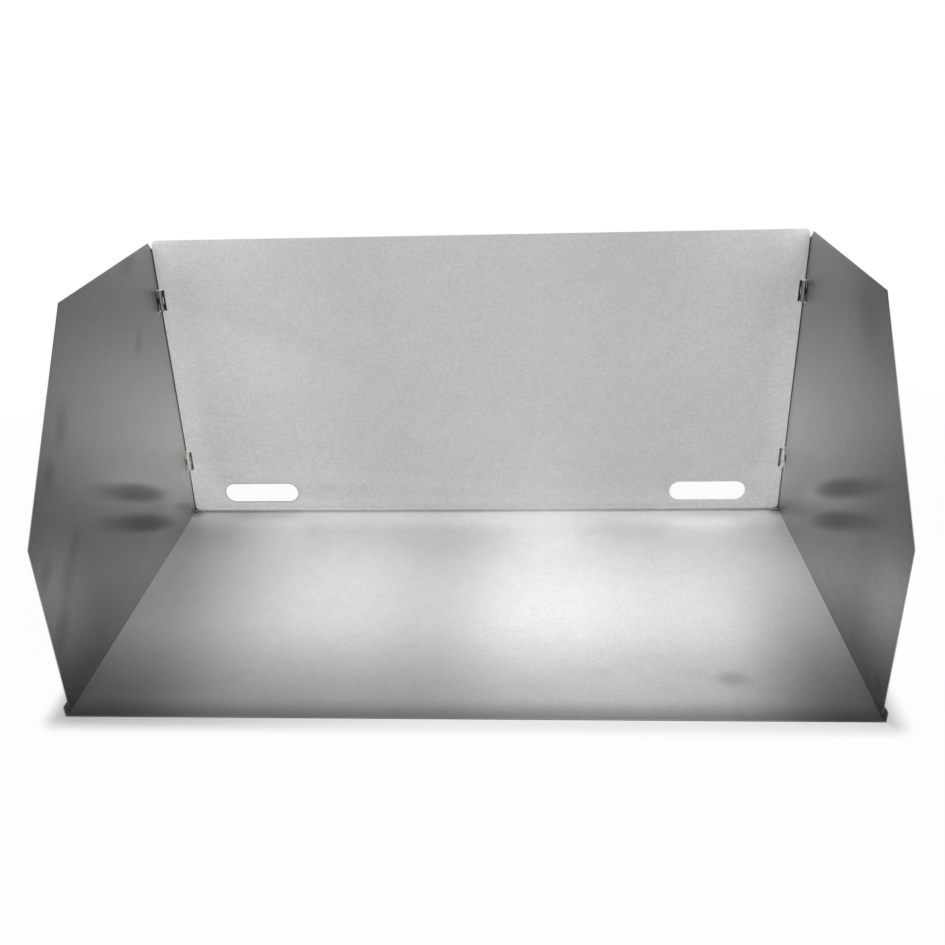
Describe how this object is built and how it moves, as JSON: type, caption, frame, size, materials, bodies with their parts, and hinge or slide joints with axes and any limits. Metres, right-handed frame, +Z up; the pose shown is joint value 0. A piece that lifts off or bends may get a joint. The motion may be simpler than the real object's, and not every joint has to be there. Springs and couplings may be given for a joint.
{
  "type": "stove windscreen",
  "caption": "Free-standing sheet-steel camp stove windscreen: a slotted back panel with sloped side wings that fold inward on small hinges, standing in a shallow lipped drip tray.",
  "frame": {"origin": "middle of the overall box at the level of the tray's underside", "axes": "+Z up, open front towards -Y, back panel towards +Y, +X to the right seen from the open front"},
  "size_m": [0.5048, 0.272, 0.2365],
  "materials": {
    "back_steel": "satin rolled sheet",
    "wing_steel": "satin rolled sheet",
    "tray_steel": "satin rolled sheet",
    "hinge_steel": "plated strip",
    "pin_steel": "bright drawn wire"
  },
  "bodies": {
    "tray": {"tray": "tray_steel"},
    "screen": {"back_panel": "back_steel", "left_upper_hinge_back_leaf": "hinge_steel", "left_lower_hinge_back_leaf": "hinge_steel", "right_upper_hinge_back_leaf": "hinge_steel", "right_lower_hinge_back_leaf": "hinge_steel", "left_upper_hinge_pin": "pin_steel", "left_lower_hinge_pin": "pin_steel", "right_upper_hinge_pin": "pin_steel", "right_lower_hinge_pin": "pin_steel"},
    "left_wing": {"left_wing": "wing_steel", "left_upper_hinge_wing_leaf": "hinge_steel", "left_lower_hinge_wing_leaf": "hinge_steel"},
    "right_wing": {"right_wing": "wing_steel", "right_upper_hinge_wing_leaf": "hinge_steel", "right_lower_hinge_wing_leaf": "hinge_steel"}
  },
  "joints": [
    {"name": "screen_lift", "type": "slide", "parent": "tray", "child": "screen", "axis": [0, 0, 1], "range_m": [0, 0.06]},
    {"name": "left_wing_fold", "type": "hinge", "parent": "screen", "child": "left_wing", "pos_m": [-0.24975, 0.13355, 0.12], "axis": [0, 0, 1], "range_deg": [0, 90]},
    {"name": "right_wing_fold", "type": "hinge", "parent": "screen", "child": "right_wing", "pos_m": [0.24975, 0.13355, 0.12], "axis": [0, 0, -1], "range_deg": [0, 89.6]}
  ]
}
